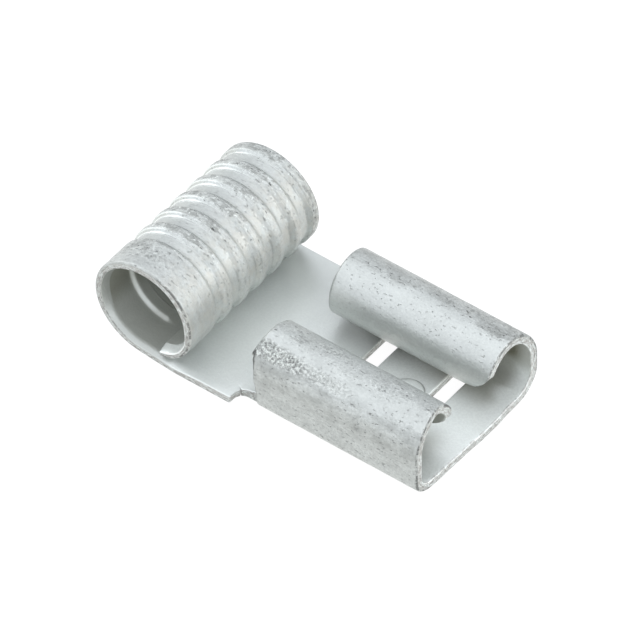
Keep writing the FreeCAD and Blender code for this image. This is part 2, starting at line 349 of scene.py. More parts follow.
    def rear_line(self, v):
        """How far forward the blank's rear edge stands: at the foot of each wall, where the relief
        notch ends, and in a rounded corner at the flap. Over the roll it stands a little back."""
        a = np.abs(v)
        foot = 0.22 * smooth_ramp((a - 2.7) / 0.6) * (1 - smooth_ramp((a - 3.9) / 1.1))
        q = self.roll_angle(v)
        near_back = curve_through(np.clip(q, -62, 120), [
            (-62, 0.0), (-25, -0.06), (0, -0.08), (15, -0.05), (30, 0.02), (45, 0.06),
            (60, 0.13), (90, 0.19), (120, 0.20)])
        far_back = 0.08 * smooth_ramp(q / 60) + 0.12 * smooth_ramp((q - 90) / 60)
        back = np.where(v < 0, near_back, far_back)
        return foot - back + edge_fall(self.to_flap(v), 0.30)


def graded(stops, steps, grade, short=None):
    """Grid lines between stops: close together beside each stop, and even in between. Each gap
    between stops has its own step. Gaps under a millimetre take the short grade."""
    lines = []
    for a, b, step in zip(stops[:-1], stops[1:], steps):
        room = b - a
        near = [g for g in (short if short and room < 1.0 else grade) if g < room * 0.45]
        count = max(2, int(math.ceil((room - 2 * near[-1]) / step)) + 1)
        inner = np.linspace(a + near[-1], b - near[-1], count)
        first = [a + g for g in near[:-1]]
        last = [b - g for g in near[-2::-1]]
        lines.append(np.concatenate([first, inner, last])[:-1])
    return np.concatenate(lines + [[stops[-1]]])


def layered_noise(p, seed, octaves=3):
    """Smooth random field from sums of sine waves in random directions, each octave twice as fine
    and half as strong. p is an array of points."""
    rng = np.random.default_rng(seed)
    total = np.zeros(len(p))
    for octave in range(octaves):
        for _ in range(5):
            direction = rng.normal(size=p.shape[1])
            direction *= 2.0 ** octave / np.linalg.norm(direction)
            total += np.sin(p @ direction + rng.uniform(0, 2 * np.pi)) * 0.5 ** octave / 5
    return total


def corner_fillet(u, v, corner, along, across, radius):
    """Rounds one corner of the blank. Points beside either edge move onto an arc of the given
    radius that touches both edges, and the move dies away further from the corner."""
    du, dv = u - corner[0], v - corner[1]
    a = du * along[0] + dv * along[1]
    b = du * across[0] + dv * across[1]
    shift_a = np.zeros_like(u)
    shift_b = np.zeros_like(u)
    for first, second, swap in ((a, b, False), (b, a, True)):
        on_side = np.abs(first) >= np.abs(second)
        s = np.clip(np.abs(first), 0, radius)
        angle = math.pi / 4 * (1 - s / radius)
        here = radius - radius * np.sin(angle) - s
        there = radius - radius * np.cos(angle)
        fade = (1 - smooth_ramp(np.abs(second) / (1.6 * radius))) * (np.abs(first) < radius)
        fade = np.where(first >= -1e-9, fade, 0) * on_side
        shift_a += np.where(on_side, (there if swap else here) * fade, 0)
        shift_b += np.where(on_side, (here if swap else there) * fade, 0)
    both = np.isclose(np.abs(a), np.abs(b)) & (np.abs(a) < radius)
    shift_a = np.where(both, shift_a / 2, shift_a)
    shift_b = np.where(both, shift_b / 2, shift_b)
    return (u + shift_a * along[0] + shift_b * across[0],
            v + shift_a * along[1] + shift_b * across[1])


def blank_grid(blank):
    """Grid lines of the flat blank, and which of its cells are metal. Lines lie close together
    beside every sheared edge, and there are five cells across each flank of a band."""
    grade = [0.0, 0.012, 0.032, 0.062, 0.105, 0.16]
    us = graded([blank.end, -blank.circle_from, blank.shoulder, blank.rear, *SLOTS[1], *SLOTS[0],
                 0.0],
                [0.165, 0.2, 0.16, 0.08, 0.16, 0.13, 0.16, 0.125], grade, [0.0, 0.02, 0.06, 0.12])
    us = us[np.concatenate([[True], np.diff(us) > 0.004])]
    starts, ends = blank.bands()
    flanks = np.concatenate([starts, ends - FLANK]) - blank.tongue
    across = [np.linspace(f, f + FLANK, 6) for f in flanks]
    rims = [-blank.tongue + grade[-1], blank.tongue - grade[-1]]
    gaps = np.sort(np.concatenate([flanks, flanks + FLANK, rims]))
    for a, b in zip(gaps[:-1], gaps[1:]):
        if b - a > FLANK + 0.02:
            across.append(np.linspace(a, b, int(math.ceil((b - a) / 0.11)) + 1))
    stops = (-blank.neck, -SLOT_REACH, SLOT_REACH, blank.neck)
    for stop in (-blank.tongue, *stops, blank.tongue):
        across.append(np.array([stop + sign * g for g in grade[:4] for sign in (1, -1)]))
    across.append((blank.tongue - grade[4]) * np.array([-1, 1]))
    across.append(np.array([0.265, 0.335, 0.395, 0.425]) - blank.tongue)
    middle = np.unique(np.concatenate(across).round(5))
    near_roll = graded([-blank.half_blank[0], -blank.roll_from[0] - 1.3, -blank.tongue],
                       [0.12, 0.06], grade)
    far_roll = graded([blank.tongue, blank.half_blank[1]], [0.15], grade)
    middle = middle[(middle > -blank.tongue) & (middle < blank.tongue)]
    keep = np.concatenate([[True], np.diff(middle) > 0.011])
    for stop in stops:
        keep |= np.isclose(middle, stop)
    vs = np.concatenate([near_roll, middle[keep], far_roll])
    cu = (us[1:] + us[:-1])[:, None] / 2
    cv = np.abs(vs[1:] + vs[:-1])[None, :] / 2
    metal = (cu > blank.rear) | ((cv < blank.neck) & (cu > blank.shoulder))
    metal |= (cv < blank.tongue) & (cu < blank.shoulder)
    for rear, front in SLOTS:
        metal &= ~((cu > rear) & (cu < front) & (cv < SLOT_REACH))
    return us, vs, metal


def shape_outline(blank, u, v):
    """Moves the straight grid onto the blank's real outline: setback front edges, relieved rear
    edges and rounded notch corners."""
    front = -blank.front_line(v)
    rear = blank.rear + blank.rear_line(v)
    share = (u - blank.rear) / (0.0 - blank.rear)
    stretched = rear + share * (front - rear)
    between_walls = u + (front * smooth_ramp((u + 2.1) / 2.1))
    seat = np.where(np.abs(v) > SLOT_REACH, stretched, between_walls)
    side = np.where(np.abs(v) > blank.neck - 0.01, 1.0, smooth_ramp((np.abs(v) - 2.0) / 1.2))
    edge = 1 - smooth_ramp(np.abs(u - blank.rear) / 0.5)
    neck = np.where(u > blank.shoulder, u + (rear - blank.rear) * edge * side, u)
    u = np.where(u >= blank.rear - 1e-9, seat, neck)
    for sign in (1, -1):
        notch = (blank.shoulder, sign * blank.neck)
        u, v = corner_fillet(u, v, notch, (1, 0), (0, sign), 0.40)
        shoulder = (blank.shoulder, sign * blank.tongue)
        u, v = corner_fillet(u, v, shoulder, (-1, 0), (0, -sign), 0.07)
    return u, v


def fold(blank, u, v, w):
    """Folds points of the blank into place. w is the height over the middle of the sheet, towards
    the inside of the folds. Across the receptacle the sheet follows the section's bends. Behind
    it, the sheet follows the side view's bends. Over the neck one passes into the other."""
    w = w + blank.ring_depth * blank.ring_dip(u, v) + blank.detent(u, v)
    near, near_n = fold_path(blank.sections[0], (0.0, blank.t / 2), np.abs(v))
    far, far_n = fold_path(blank.sections[1], (0.0, blank.t / 2), np.abs(v))
    cross = np.where(v[:, None] < 0, near, far)
    cross_n = np.where(v[:, None] < 0, near_n, far_n)
    sign = np.sign(v)
    bent = np.stack([blank.mouth_x + u, sign * (cross[:, 0] + w * cross_n[:, 0]),
                     cross[:, 1] + w * cross_n[:, 1]], -1)
    side, side_n = fold_path(blank.side, (0.0, blank.t / 2), -u)
    rolled = np.stack([blank.mouth_x - side[:, 0] - w * side_n[:, 0], v,
                       side[:, 1] + w * side_n[:, 1]], -1)
    share = smooth_ramp((u - blank.shoulder + 0.1) / (blank.rear - blank.shoulder + 0.2))[:, None]
    return rolled + (bent - rolled) * share


def nearest(points, targets):
    """Distance from each point to the nearest target, worked out in blocks."""
    out = np.empty(len(points))
    norm = (targets ** 2).sum(1)
    for i in range(0, len(points), 2048):
        p = points[i:i + 2048]
        gap = (p ** 2).sum(1)[:, None] + norm - 2 * p @ targets.T
        out[i:i + 2048] = np.sqrt(np.clip(gap.min(1), 0, None))
    return out


def edge_fall(distance, radius):
    """Fall of a line or surface beside an edge that is rounded by a quarter circle."""
    inside = np.clip(radius - distance, 0, radius)
    return radius - np.sqrt(np.clip(radius ** 2 - inside ** 2, 0, None))


def rough_patch(blank, u, v):
    """Share of crumpling on the near roll: a band along the foot of the roll that is strongest at
    its rear end and dies away towards the mouth."""
    q = blank.roll_angle(v)
    along = (u - blank.rear) / 8.0
    width = 22 - 16 * np.clip(along, 0, 0.6)
    band = smooth_ramp(1.7 * (1 - np.abs(q - 50) / width))
    fade = 1 - 0.5 * smooth_ramp((along - 0.20) / 0.08) - 0.5 * smooth_ramp((along - 0.42) / 0.2)
    upper = 0.45 * smooth_ramp(1.5 * (1 - np.abs(q - 107) / 13))
    upper = upper * smooth_ramp((along - 0.20) / 0.05) * (1 - smooth_ramp((along - 0.38) / 0.1))
    return np.where(v < 0, np.maximum(band * fade, upper), 0.0)


def roll_wear(blank, u, v):
    """Scuffs and darkening on the outer side of the rolls: on the far one up to a wavering line
    past its top, and on the near one past its top and low down on its wall."""
    q = blank.roll_angle(v)
    along = (u - blank.rear) / 8.0
    waver = 6 * np.sin(along * 9.0) + 4 * np.sin(along * 23.0 + 1)
    far_zone = smooth_ramp((98 + waver - q) / 12)
    far_top = far_zone * (0.48 + 0.30 * along) * (0.4 + 0.6 * smooth_ramp((q - 5) / 40))
    near_zone = smooth_ramp((q - 66 - waver) / 22)
    near_top = near_zone * (0.42 + 0.22 * np.sin(along * 5.0 + 1) ** 2)
    near_low = 0.50 * smooth_ramp((36 + 18 * along + 0.5 * waver - q) / 5)
    near_low = near_low * smooth_ramp((np.abs(v) - 3.0) / 0.5)
    near_darkening = 0.20 + 2 * near_low * (0.35 - 0.28 * smooth_ramp((4 - q) / 45))
    scuff = np.where(v > 0, 0.08 + far_top, np.maximum(0.10 + near_top, near_low))
    return scuff, np.where(v < 0, near_darkening, 0.04 + 0.42 * far_zone)


def barrel_wear(blank, u, v):
    """Scuffs and darkening on the outer side of the barrel: heavy on the crests' upper side and on
    the plain part at the far end, light on the plain part at the near end."""
    on_barrel, turn = blank.on_barrel(u), blank.around(u)
    s = v + blank.tongue
    crest = 1 - np.clip(blank.ring_dip(u, v) * 1.15, 0, 1)
    upper = smooth_ramp((turn - 25) / 60) * (1 - smooth_ramp((turn - 175) / 30))
    near_end = (s < 1.5) & (on_barrel > 0)
    far_end = (s > 2 * blank.tongue - FAR_PLAIN) & (on_barrel > 0)
    scuff = on_barrel * (0.12 + crest * (0.25 + 0.58 * upper))
    scuff = np.where(far_end, on_barrel * (0.72 + 0.12 * upper), scuff)
    over_top = 0.45 + 0.4 * smooth_ramp((turn - 70) / 30) * (s > 0.5)
    scuff = np.where(near_end, scuff * over_top, scuff)
    return scuff, 0.28 * near_end + 0.22 * far_end


def flank_lines(blank, u, v):
    """Marks along the bands' flanks on the outer side of the barrel: the polished slope, a painted
    highlight of white double lines over the top, and painted shade as a dark line at each foot low
    on the right."""
    on_barrel, turn = blank.on_barrel(u), blank.around(u)
    s = v + blank.tongue
    dip = blank.ring_dip(u, v)
    polish = on_barrel * np.clip(9 * dip * (1 - dip), 0, 1)
    polish = polish * (0.12 + 0.88 * smooth_ramp((turn - 60) / 40))
    across = 1 - (blank.bands()[1][:, None] - s) / FLANK

    def pair(first, second):
        lines = [np.exp(-((across - place) / 0.15) ** 2) for place in (first, second)]
        return (lines[0] + lines[1]).max(0) * on_barrel

    # painted highlight: white double lines along the flanks over the top
    painted_highlight = pair(0.20, 0.82) * smooth_ramp((turn - 92) / 25) * (1 - smooth_ramp((turn - 190) / 10))
    painted_highlight = painted_highlight * (blank.curl_from + u > 0) * (0.55 + 0.45 * (s < 7.0))
    # painted shade: a dark line at each foot of the flanks, low on the right
    crease_shade = pair(0.02, 0.98) * smooth_ramp((95 - turn) / 45) * smooth_ramp((turn + 15) / 30)
    return polish, painted_highlight, crease_shade


def painted_inside_shade(blank, u, v):
    """Share of painted shade on the inner side: in the barrel, but not on the first ring's bright
    riser, in the rolls, and on the floor where the rolls keep the light off, back from the mouth."""
    turn = blank.around(u)
    bore = 0.50 + 0.36 * smooth_ramp((turn - 110) / 50) * (1 - smooth_ramp((turn - 190) / 30))
    bore = bore * smooth_ramp((-u - blank.circle_from + 1.5) / 1.0)
    open_floor = smooth_ramp((v - 1.7) / 0.6) * (1 - smooth_ramp((v - 2.45) / 0.35))
    back = smooth_ramp((-u - 0.32 - 0.30 * open_floor) / 0.8)
    roll = smooth_ramp((blank.roll_angle(v) + np.where(v > 0, 75, -10)) / 65)
    roll = roll * np.where(v > 0, 0.60 + 0.60 * back, 1.3)
    far_floor = 0.72 * back * (1 - 0.62 * smooth_ramp((-2.8 - u) / 1.6))
    far_floor = far_floor * smooth_ramp((u - blank.rear) / 1.2) * smooth_ramp((v - 0.7) / 1.5)
    near_floor = smooth_ramp((-0.45 - u) / 1.2) * smooth_ramp((-0.2 - v) / 1.4) * (u > -2.5)
    seat = np.maximum(np.maximum(roll, far_floor), 0.52 * near_floor)
    seat = seat * np.where((v < -3.0) & (u > -1.6), 0.5, 1.0)
    inside = np.maximum(bore, (u > blank.rear - 0.02) * seat)
    riser = 1 - np.abs((v + blank.tongue - NEAR_PLAIN) / FLANK - 0.5) / 0.6
    riser = np.clip(riser, 0, 1) * (blank.ring_dip(u, v) > 0.02)
    return inside * (1 - 0.65 * riser * blank.on_barrel(u))


def plate_and_painted_light(u, v):
    """How light the inner side is: partly cleaner plating and partly painted light that lifts the
    upward faces. It is lightest on the floor, a little darker at the mouth's near side, where it
    is painted shade, and darkest over the far side of the tongue."""
    plate = 0.62 - 0.30 * smooth_ramp((v - 0.8) / 2.4) * smooth_ramp((-8.0 - u) / 0.6)
    plate = plate + 0.38 * smooth_ramp((u + 6.2) / 2.0)
    return plate - smooth_ramp((u + 2.6) / 1.2) * (0.09 + 0.20 * smooth_ramp((0.5 - v) / 1.6))


def edge_shade_lines(blank, u, v, side, border):
    """Painted shade as a dark broken line along the outer side of the sheared edges, strong around
    the mouth's near side and the barrel's right, and a thin one inside the barrel's plain end."""
    on_barrel, turn = blank.on_barrel(u), blank.around(u)
    at_mouth = u > -0.8
    lasting = np.where(on_barrel > 0, 0.15 + 0.85 * smooth_ramp((80 - turn) / 20),
                       0.5 + 0.5 * (blank.roll_angle(v) > 0))
    mouth = np.where(v < -3.0, 1.0, 0.85 * smooth_ramp((v - 3.2) / 0.4))
    lasting = np.where(at_mouth, mouth, lasting)
    at_rear = (u > blank.rear - 0.02) & (u < blank.rear + 1.0) & (np.abs(v) > 3.0)
    width = np.where(at_rear, 0.10, 0.068)
    edge_shade = lasting * (side < -0.9) * smooth_ramp((width - border) / 0.05)
    inside = (side > 0.9) * (v < -3.0) * (turn > 90) * (border < 0.02)
    return np.maximum(edge_shade, 0.7 * on_barrel * inside)


def marks_and_painted_light(blank, u, v, side, border):
    """Shares of the finish's zones, painted light and painted shade among them, at points of the
    sheet. side is 1 on the inner face and -1 on the outer one, and border is the distance to the
    nearest sheared edge. The barrel's lead-in gets less painted shade than the rest of the bore,
    and it is crushed bare where the free edge curls in."""
    outer = side < 0
    turn = blank.around(u)
    in_seat = (u > blank.rear - 0.02) & (np.abs(v) > 3.0)
    roll_scuff, roll_darkening = roll_wear(blank, u, v)
    barrel_scuff, barrel_darkening = barrel_wear(blank, u, v)
    polish, painted_highlight, crease_shade = flank_lines(blank, u, v)
    lead_in = (v + blank.tongue < blank.lead_in_reach(turn)) & (v < -3.0)
    lead_in = lead_in & (-u > blank.circle_from - 1.5) & ~outer
    crushed = lead_in * smooth_ramp((10 - turn) / 20)
    # painted shade on the inner side, lighter on the lead-in
    deep = np.where(outer, 0.0, painted_inside_shade(blank, u, v))
    plate = plate_and_painted_light(u, v) * np.where(lead_in, 0.15, 1.0)
    inner = side * 0.5 + 0.5
    edge_shade = edge_shade_lines(blank, u, v, side, border)
    # yellowish tint low on the barrel's right: partly brass, partly a painted reflection
    warm_brass_and_reflection = blank.on_barrel(u) * smooth_ramp((95 - turn) / 50) * smooth_ramp((turn + 35) / 35)
    return {
        "scuff": np.where(outer, np.where(in_seat, roll_scuff, barrel_scuff), 0.06),
        "darkening": np.where(in_seat, roll_darkening, barrel_darkening) * outer,
        "flank": np.where(lead_in, 0.4 * crushed, polish * outer),
        "painted_highlight": painted_highlight * outer,
        "warm_brass_and_reflection": warm_brass_and_reflection * outer,
        "deep": deep * np.where(lead_in, 0.40, 1.0) * (1 - crushed),
        "plate_light_and_bare": inner * np.maximum(plate, crushed),
        "inner": inner,
        "edge_shade": np.maximum(edge_shade, 0.48 * crease_shade * outer),
        "burr": (side > 0.9) * (u > -0.8) * (1 - smooth_ramp((border - 0.05) / 0.06)),
        "crumple": rough_patch(blank, u, v) * outer,
    }


def face_heights(blank, u, v, gap, by_slot):
    """Heights of the inner and the outer face over the middle of the sheet: half a sheet less the
    rounding beside each edge, the frayed lip at the mouth and the barrel's lead-in, plus slow
    waves and the crumpling. gap is the distance to the nearest edge."""
    flat = np.stack([u, v], 1)
    lip = smooth_ramp((u + 0.45) / 0.2) * smooth_ramp((3.3 - np.abs(v)) / 0.3)
    flap = smooth_ramp((blank.roll_angle(v) - 120) / 40) * smooth_ramp((u + 4.0) / 0.5)
    frayed = 0.6 + 0.5 * layered_noise(flat * 7.0, 21)
    inner = edge_fall(gap, np.where(by_slot, 0.08, 0.035))
    inner = inner + lip * 0.014 * frayed * np.clip(1 - gap / 0.10, 0, 1)
    inner = inner - lip * 0.006 * frayed * np.exp(-((gap - 0.17) / 0.035) ** 2)
    inner = inner + blank.flare(u, v) + 0.02 * (v < -3.0) * np.clip(1 - gap / 0.2, 0, 1)
    outer = edge_fall(gap, blank.die_roll * (1 - 0.7 * flap))
    wave = 0.006 + 0.006 * np.clip(layered_noise(flat * 2.2, 5), -1, 1)
    crumple = rough_patch(blank, u, v) * (0.012 + 0.015 * layered_noise(flat * 30.0, 9, 1))
    return blank.t / 2 - inner + wave, -blank.t / 2 + outer + wave + crumple


def folded_sheet(blank):
    """Closed mesh of the folded sheet. The two faces are the blank's grid, lifted half a sheet to
    either side and rounded towards every edge. The rims join them by rows across the thickness
    that are worn inwards at random."""
    us, vs, metal = blank_grid(blank)
    nv = len(vs)
    iu, iv = np.nonzero(metal)
    here = iu * nv + iv
    corners = np.stack([here, here + nv, here + nv + 1, here + 1], 1)
    used, quads = np.unique(corners, return_inverse=True)
    quads = quads.reshape(-1, 4)
    n = len(used)
    u0, v0 = us[used // nv], vs[used % nv]
    u, v = shape_outline(blank, u0, v0)
    flat = np.stack([u, v], 1)

    edges = np.concatenate([quads[:, [k, (k + 1) % 4]] for k in range(4)])
    key = np.sort(edges, 1) @ np.array([n, 1])
    _, first, counts = np.unique(key, return_index=True, return_counts=True)
    rim = edges[first[counts == 1]]
    columns, rim_index = np.unique(rim, return_inverse=True)
    rim_index = rim_index.reshape(-1, 2)
    middles = (flat[rim[:, 0]] + flat[rim[:, 1]]) / 2
    gap = nearest(flat, np.concatenate([flat[columns], middles]))
    gap[columns] = 0.0

    by_slot = (np.abs(v0) < 2.75) & (u0 > -6.4) & (u0 < -1.8)
    upper, lower = face_heights(blank, u, v, gap, by_slot)
    top = fold(blank, u, v, upper)
    bottom = fold(blank, u, v, lower)

    run = top[rim[:, 1]] - top[rim[:, 0]]
    through = top[rim[:, 0]] - bottom[rim[:, 0]]
    out = np.cross(run, through)
    out /= np.linalg.norm(out, axis=1)[:, None]
    outward = np.zeros((len(columns), 3))
    np.add.at(outward, rim_index[:, 0], out)
    np.add.at(outward, rim_index[:, 1], out)
    outward /= np.linalg.norm(outward, axis=1)[:, None] + 1e-12

    rows = 6
    layers = []
    for r in range(1, rows):
        share = r / rows
        point = top[columns] * (1 - share) + bottom[columns] * share
        place = np.column_stack([flat[columns] * 15.0, np.full(len(columns), r * 2.4)])
        rough = np.clip(0.014 + 0.018 * layered_noise(place, 11), 0, None)
        layers.append(point - outward * (rough * math.sin(math.pi * share))[:, None])

    faces = [quads, quads[:, ::-1] + n]
    previous = rim
    for r in range(rows):
        following = rim + n if r == rows - 1 else 2 * n + r * len(columns) + rim_index
        faces.append(np.column_stack([previous[:, ::-1], following]))
        previous = following
    points = np.concatenate([top, bottom] + layers)
    sizes = [n, n] + [len(columns)] * (rows - 1)
    side = np.repeat([1.0, -1.0] + [1 - 2 * r / rows for r in range(1, rows)], sizes)
    border = np.concatenate([gap, gap, np.zeros(len(columns) * (rows - 1))])
    kind = np.concatenate([np.zeros(2 * len(quads)), np.ones(len(rim) * rows)])
    flat = np.concatenate([flat, flat] + [flat[columns]] * (rows - 1))
    return points, np.concatenate(faces), flat, kind, side, border


def mark_mesh(mesh, name, domain, values):
    """Stores one share for each point or face of a mesh."""
    layer = mesh.attributes.new(name, "FLOAT", domain)
    layer.data.foreach_set("value", values.astype(np.float32))


def solid_mesh(name, points, faces):
    """A mesh object from arrays of points in millimetres and four-cornered faces."""
    mesh = bpy.data.meshes.new(name)
    mesh.vertices.add(len(points))
    mesh.vertices.foreach_set("co", (points * MM).astype(np.float32).ravel())
    mesh.loops.add(faces.size)
    mesh.loops.foreach_set("vertex_index", faces.astype(np.int32).ravel())
    mesh.polygons.add(len(faces))
    mesh.polygons.foreach_set("loop_start", np.arange(0, faces.size, 4, dtype=np.int32))
    mesh.update(calc_edges=True)
    mesh.validate()
    mesh.shade_smooth()
    piece = bpy.data.objects.new(name, mesh)
    bpy.context.scene.collection.objects.link(piece)
    return piece


# Finishes


class Recipe:
    """Short calls for building the nodes of one material or world around its shader."""

    def __init__(self, owner, shader="Principled BSDF"):
        self.owner = owner
        owner.use_nodes = True
        self.tree = owner.node_tree
        self.shader = self.tree.nodes[shader]

    def node(self, kind, **settings):
        """Adds a node. Each setting is one of its inputs, or else one of its properties. Two words
        of an input's name are joined by an underscore."""
        made = self.tree.nodes.new(kind)
        for key, value in settings.items():
            socket = key.replace("_", " ")
            if socket in made.inputs.keys():
                self.put(value, made.inputs[socket])
            else:
                setattr(made, key, value)
        return made

    def put(self, value, socket):
        """Links or sets a socket. A socket of the shader is given by its name."""
        if isinstance(socket, str):
            socket = self.shader.inputs[socket]
        if isinstance(value, bpy.types.NodeSocket):
            self.tree.links.new(value, socket)
        else:
            socket.default_value = value

    def two(self, made, a, b, first=0):
        self.put(a, made.inputs[first])
        self.put(b, made.inputs[first + 1])
        return made

    def math(self, operation, a, b):
        return self.two(self.node("ShaderNodeMath", operation=operation), a, b).outputs[0]

    def times(self, a, b):
        return self.math("MULTIPLY", a, b)

    def plus(self, a, b):
        return self.math("ADD", a, b)

    def less(self, a, b):
        return self.math("SUBTRACT", a, b)

    def compare(self, operation, a, b):
        made = self.node("ShaderNodeVectorMath", operation=operation)
        return self.two(made, a, b).outputs["Value"]

    def mix(self, share, a, b):
        made = self.node("ShaderNodeMix", data_type="RGBA")
        self.put(share, made.inputs[0])
        return self.two(made, a, b, 6).outputs[2]

    def stretch(self, vector, x, y):
        return self.node("ShaderNodeMapping", Vector=vector, Scale=(x, y, 1.0)).outputs[0]

    def ramp(self, value, low, high, **ends):
        return self.node("ShaderNodeMapRange", interpolation_type="SMOOTHSTEP", Value=value,
                         From_Min=low, From_Max=high, **ends).outputs[0]

    def attribute(self, name):
        return self.node("ShaderNodeAttribute", attribute_name=name).outputs["Fac"]

    def noise(self, vector, scale, detail=3.0, roughness=0.55, **more):
        return self.node("ShaderNodeTexNoise", Vector=vector, Scale=scale, Detail=detail,
                         Roughness=roughness, **more).outputs["Fac"]


def rgba(tint, brightness=1.0):
    return (*(c * brightness for c in tint), 1.0)


def sheared_tone(r, finish, place, shear):
    """Colour of the sheared edges: bare metal with light and bright streaks, dark spots and dull
    hollows."""
    tone = r.mix(r.ramp(shear, 0.46, 0.54), rgba(finish.bare_edge), rgba(finish.tin, 1.22))
    tone = r.mix(r.times(r.ramp(shear, 0.545, 0.585), 0.9), tone, rgba(finish.tin, 1.55))
    spots = r.ramp(r.noise(place, 5200.0, 4.0, 0.7), 0.58, 0.66)
    tone = r.mix(r.times(spots, 0.55), tone, rgba(finish.scuff, 0.45))
    return r.mix(r.times(r.ramp(shear, 0.46, 0.42), 0.50), tone, rgba(finish.scuff))


def tin_material(finish):
    """Matte tin: fine cloudy grain, dark scuffs and pits where the tools pressed, polished flanks
    with a painted highlight of white lines, painted highlights as bright specks, a yellowish tint
    that is partly brass under thin plating and partly a painted reflection, painted light on the
    upward inner faces, painted shade inside, painted shade in the creases and painted highlights
    on the bumps of the crumpled band, a ring of painted shade at the foot of the detent, and
    rough, streaked sheared edges with painted shade as a dark broken line along them."""
    r = Recipe(bpy.data.materials.new("matte_tin"))
    place = r.node("ShaderNodeTexCoord").outputs["Object"]
    blank = r.node("ShaderNodeUVMap", uv_map="blank").outputs[0]
    edge, scuff, darkening, warm_brass_and_reflection = (r.attribute(n) for n in ("edge", "scuff", "darkening", "warm_brass_and_reflection"))
    flank, painted_highlight, edge_shade, burr = (r.attribute(n) for n in ("flank", "painted_highlight", "edge_shade", "burr"))
    crumple, deep, plate_light_and_bare, inner = (r.attribute(n) for n in ("crumple", "deep", "plate_light_and_bare", "inner"))
    times, plus, less = r.times, r.plus, r.less
    outer = less(1.0, inner)

    cloud = r.noise(place, 700.0, 4.0, 0.6)
    stain = r.ramp(r.noise(r.stretch(blank, 9.0, 20.0), 1.0, 5.0, 0.68), 0.38, 0.62)
    grain = r.noise(place, 9500.0, 4.0, 0.65)
    patch = r.noise(place, 2300.0, 7.0, 0.76)
    streak = r.noise(r.stretch(blank, 18.0, 62.0), 1.0, 6.0, 0.74)
    scratch = r.noise(r.stretch(blank, 30.0, 150.0), 1.0, 3.0, 0.6)
    cracks = r.noise(place, 8600.0, 4.0, 0.68)
    through = times(inner, 0.0009)
    shear = r.noise(place, 5000.0, 4.0, 0.7, noise_dimensions="4D", W=through)

    tin, dull = rgba(finish.tin), rgba(finish.scuff)
    light, bright = rgba(finish.tin, 1.22), rgba(finish.tin, 1.55)
    dark = rgba(finish.scuff, 0.45)
    base = r.mix(r.ramp(cloud, 0.30, 0.72), tin, rgba(finish.tin, 0.90))
    speckle = plus(0.16, times(outer, plus(0.08, times(scuff, 1.1))))
    base = r.mix(times(r.ramp(grain, 0.38, 0.64), speckle), base, light)
    # painted light on the upward inner faces, with bare metal where the curl is crushed
    base = r.mix(plate_light_and_bare, base, bright)

    mottle = plus(times(patch, 0.55), times(streak, 0.45))
    worn = times(r.ramp(less(mottle, less(0.68, times(scuff, 0.20))), -0.015, 0.045), outer)
    marks = times(r.ramp(scratch, 0.56, 0.66), plus(0.06, times(scuff, 0.50)))
    # painted highlights: sparse bright specks on the scuffed outer side
    painted_glints = times(r.ramp(r.noise(place, 6200.0, 3.0, 0.7), 0.60, 0.67), less(scuff, darkening))
    pits = r.noise(r.stretch(blank, 48.0, 100.0), 1.0, 3.0, 0.5)
    pits = times(r.ramp(pits, 0.635, 0.68), outer)
    coats = [
        (times(r.ramp(grain, 0.40, 0.60), inner), 0.19, tin),
        (times(warm_brass_and_reflection, r.ramp(patch, 0.38, 0.60)), 0.6, rgba(finish.warm_brass_and_reflection)),
        (darkening, plus(0.30, times(stain, 0.75)), dull),
        (worn, 0.62, dull),
        (scuff, 0.15, dull),
        (marks, outer, dull),
        (painted_glints, outer, bright),
        (pits, plus(0.01, times(scuff, 1.15)), dark),
        # painted highlight of the flanks
        (painted_highlight, 0.9, rgba(finish.tin, 1.75)),
        # painted shade in the crumpled band's creases, and painted highlights on its bumps
        (times(crumple, r.ramp(cracks, 0.455, 0.42)), 0.70, dark),
        (crumple, times(r.ramp(cracks, 0.53, 0.565), 0.95), bright),
        # painted shade inside the barrel and the rolls and on the floor under them
        (deep, 0.92, rgba(finish.inside))]
    for share, strength, tint in coats:
        base = r.mix(times(share, strength), base, tint)
    # the painted shade darkens further where its share passes 1
    base = r.mix(less(deep, 1.0), base, rgba(finish.inside, 0.2))
    # painted shade: a dark ring at the foot of the detent
    ring = r.compare("DISTANCE", blank, (DETENT[0] / UV_SPAN, DETENT[1] / UV_SPAN, 0.0))
    detent_foot_shade = times(times(r.ramp(ring, 0.0605, 0.0645), r.ramp(ring, 0.0690, 0.0650)), inner)
    base = r.mix(times(detent_foot_shade, 0.45), base, dark)

    edge_tone = sheared_tone(r, finish, place, shear)
    base = r.mix(plus(edge, times(burr, 0.75)), base, edge_tone)
    # painted shade along the sheared edges and at the flank feet
    broken = times(edge_shade, r.ramp(r.noise(place, 3600.0, 4.0, 0.7), 0.42, 0.54))
    base = r.mix(times(broken, 0.88), base, dark)
    r.put(base, "Base Color")
    metallic = plus(0.60, times(flank, 0.25))
    metallic = less(metallic, plus(times(plate_light_and_bare, 0.34), times(painted_highlight, 0.40)))
    r.put(less(metallic, times(warm_brass_and_reflection, 0.10)), "Metallic")

    rough = plus(times(grain, 0.14), 0.24)
    rough = plus(rough, times(worn, 0.14))
    rough = less(plus(rough, times(warm_brass_and_reflection, 0.05)), times(flank, 0.18))
    rough = plus(rough, plus(times(edge, 0.06), times(deep, 0.16)))
    r.put(rough, "Roughness")

